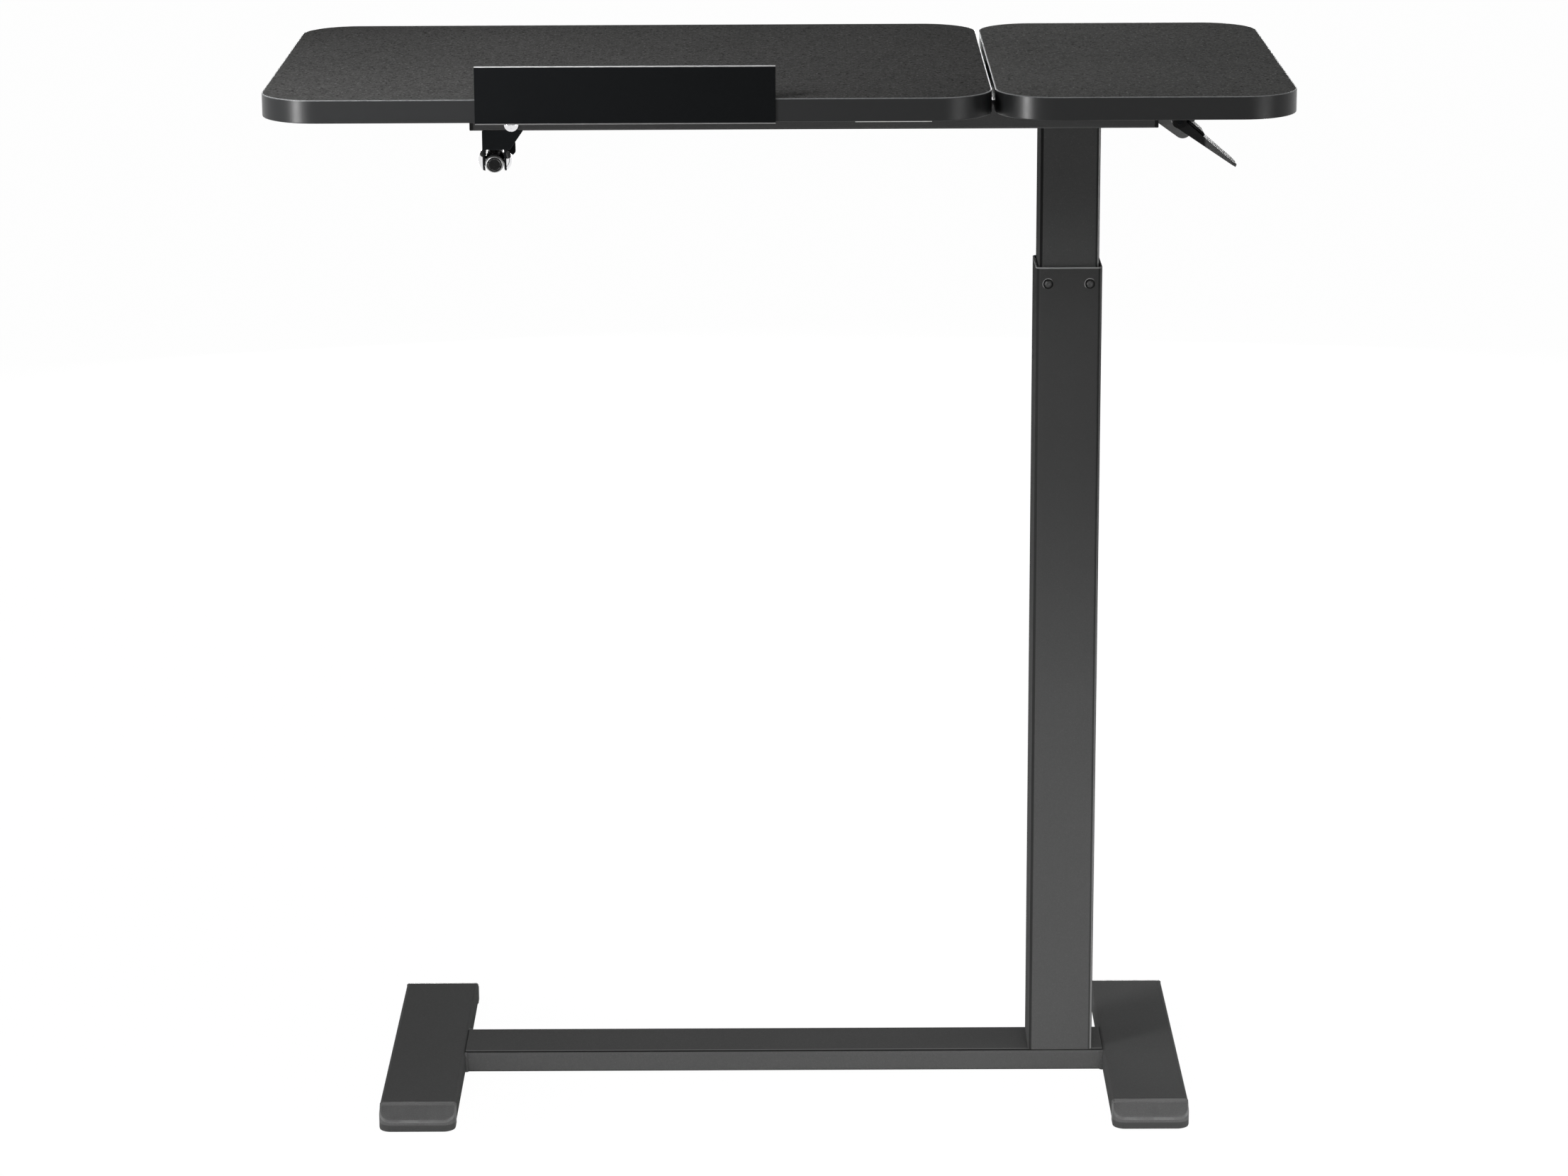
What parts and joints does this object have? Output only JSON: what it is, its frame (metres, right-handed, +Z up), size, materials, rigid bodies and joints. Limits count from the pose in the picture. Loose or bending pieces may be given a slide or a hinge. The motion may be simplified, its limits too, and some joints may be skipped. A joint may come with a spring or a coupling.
{
  "type": "adjustable laptop table",
  "caption": "Overbed-style laptop table with a tilting main board, a fixed side board, a laptop stop and a gas-lift column on an H-shaped base.",
  "frame": {"origin": "on the floor, under the middle of the whole table's box", "axes": "+Z up, +X to the user's right, +Y away from the user"},
  "size_m": [0.8, 0.4014, 0.8857],
  "materials": {
    "board_laminate": "fine-textured black laminate on particle board",
    "edge_band": "satin black PVC edge band",
    "frame_paint": "fine matt charcoal powder coat",
    "under_paint": "matt black powder coat",
    "stop_paint": "smooth satin black paint",
    "end_cap_plastic": "grained charcoal moulding",
    "black_plastic": "matt black moulding",
    "nylon": "dark nylon",
    "lever_plastic": "semi-gloss black moulding",
    "rubber": "matt rubber",
    "chrome": "polished",
    "zinc": "zinc-plated steel"
  },
  "bodies": {
    "base": {"left_foot_tube": "frame_paint", "right_foot_tube": "frame_paint", "foot_end_caps": "end_cap_plastic", "foot_pads": "rubber", "crossbar": "frame_paint", "outer_column": "frame_paint", "column_base_plate": "under_paint", "column_bolts": "zinc", "gas_cylinder": "stop_paint", "cylinder_nut": "zinc", "upper_glide": "nylon"},
    "lift": {"inner_column": "frame_paint", "lower_glide": "nylon", "column_top_plate": "under_paint", "mount_plate": "under_paint", "mount_bolts": "zinc", "mount_nuts": "zinc", "gas_rod": "chrome", "gas_piston": "nylon", "rod_nut": "zinc", "front_rail": "under_paint", "rear_rail": "under_paint", "left_cross_tube": "under_paint", "rail_end_caps": "black_plastic", "rail_screws": "chrome", "side_board": "board_laminate", "side_edge_band": "edge_band", "side_board_screws": "zinc", "hinge_fixed_leaves": "zinc", "hinge_pins": "zinc", "fixed_leaf_screws": "zinc", "stay_bracket": "stop_paint", "stay_bolt": "chrome", "lever_bracket": "frame_paint", "lever_bracket_screws": "zinc", "lever_pin": "stop_paint", "rocker_bracket": "under_paint", "rocker_pin": "zinc"},
    "tilt_top": {"main_board": "board_laminate", "main_edge_band": "edge_band", "hinge_moving_leaves": "zinc", "moving_leaf_screws": "zinc", "laptop_stop": "stop_paint", "stop_screws": "zinc", "stay_upper_bracket": "under_paint", "stay_upper_pin": "zinc", "upper_bracket_screws": "zinc"},
    "stay_tube": {"stay_tube": "stop_paint", "stay_end_plug": "black_plastic", "stay_gland": "stop_paint"},
    "stay_rod": {"stay_rod": "chrome", "stay_eye": "stop_paint"},
    "lever": {"release_lever": "lever_plastic", "lever_block": "black_plastic", "lever_crank_pin": "zinc"},
    "link": {"push_link": "zinc"},
    "rocker": {"release_rocker": "zinc", "rocker_crank_pin": "zinc"},
    "valve_pin": {"release_pin": "chrome"}
  },
  "joints": [
    {"name": "column_lift", "type": "slide", "parent": "base", "child": "lift", "axis": [0, 0, 1], "range_m": [-0.12, 0.25]},
    {"name": "board_tilt", "type": "hinge", "parent": "lift", "child": "tilt_top", "pos_m": [-0.1178, -0.118, 0.839], "axis": [1, 0, 0], "range_deg": [0, 45]},
    {"name": "stay_swing", "type": "hinge", "parent": "lift", "child": "stay_tube", "pos_m": [-0.2242, -0.1, 0.797], "axis": [1, 0, 0], "range_deg": [0, 44]},
    {"name": "stay_extend", "type": "slide", "parent": "stay_tube", "child": "stay_rod", "axis": [0, 0.9806, 0.1961], "range_m": [0, 0.035]},
    {"name": "lever_pull", "type": "hinge", "parent": "lift", "child": "lever", "pos_m": [0.322, 0, 0.811], "axis": [0, -1, 0], "range_deg": [0, 8], "stiffness_Nm_per_rad": 2, "springref_deg": -11.46},
    {"name": "link_turn", "type": "hinge", "parent": "lever", "child": "link", "pos_m": [0.322, 0, 0.818], "axis": [0, -1, 0], "range_deg": [-8, 0]},
    {"name": "rocker_turn", "type": "hinge", "parent": "lift", "child": "rocker", "pos_m": [0.258, 0, 0.831], "axis": [0, -1, 0], "range_deg": [0, 8]},
    {"name": "valve_press", "type": "slide", "parent": "lift", "child": "valve_pin", "axis": [0, 0, -1], "range_m": [0, 0.0034]}
  ],
  "couplings": [
    {"joint": "stay_swing", "follows": "board_tilt", "ratio": 0.9729},
    {"joint": "stay_extend", "follows": "board_tilt", "m_per_rad": 0.04434},
    {"joint": "link_turn", "follows": "lever_pull", "ratio": -1},
    {"joint": "rocker_turn", "follows": "lever_pull", "ratio": 1},
    {"joint": "valve_press", "follows": "lever_pull", "m_per_rad": 0.024}
  ]
}
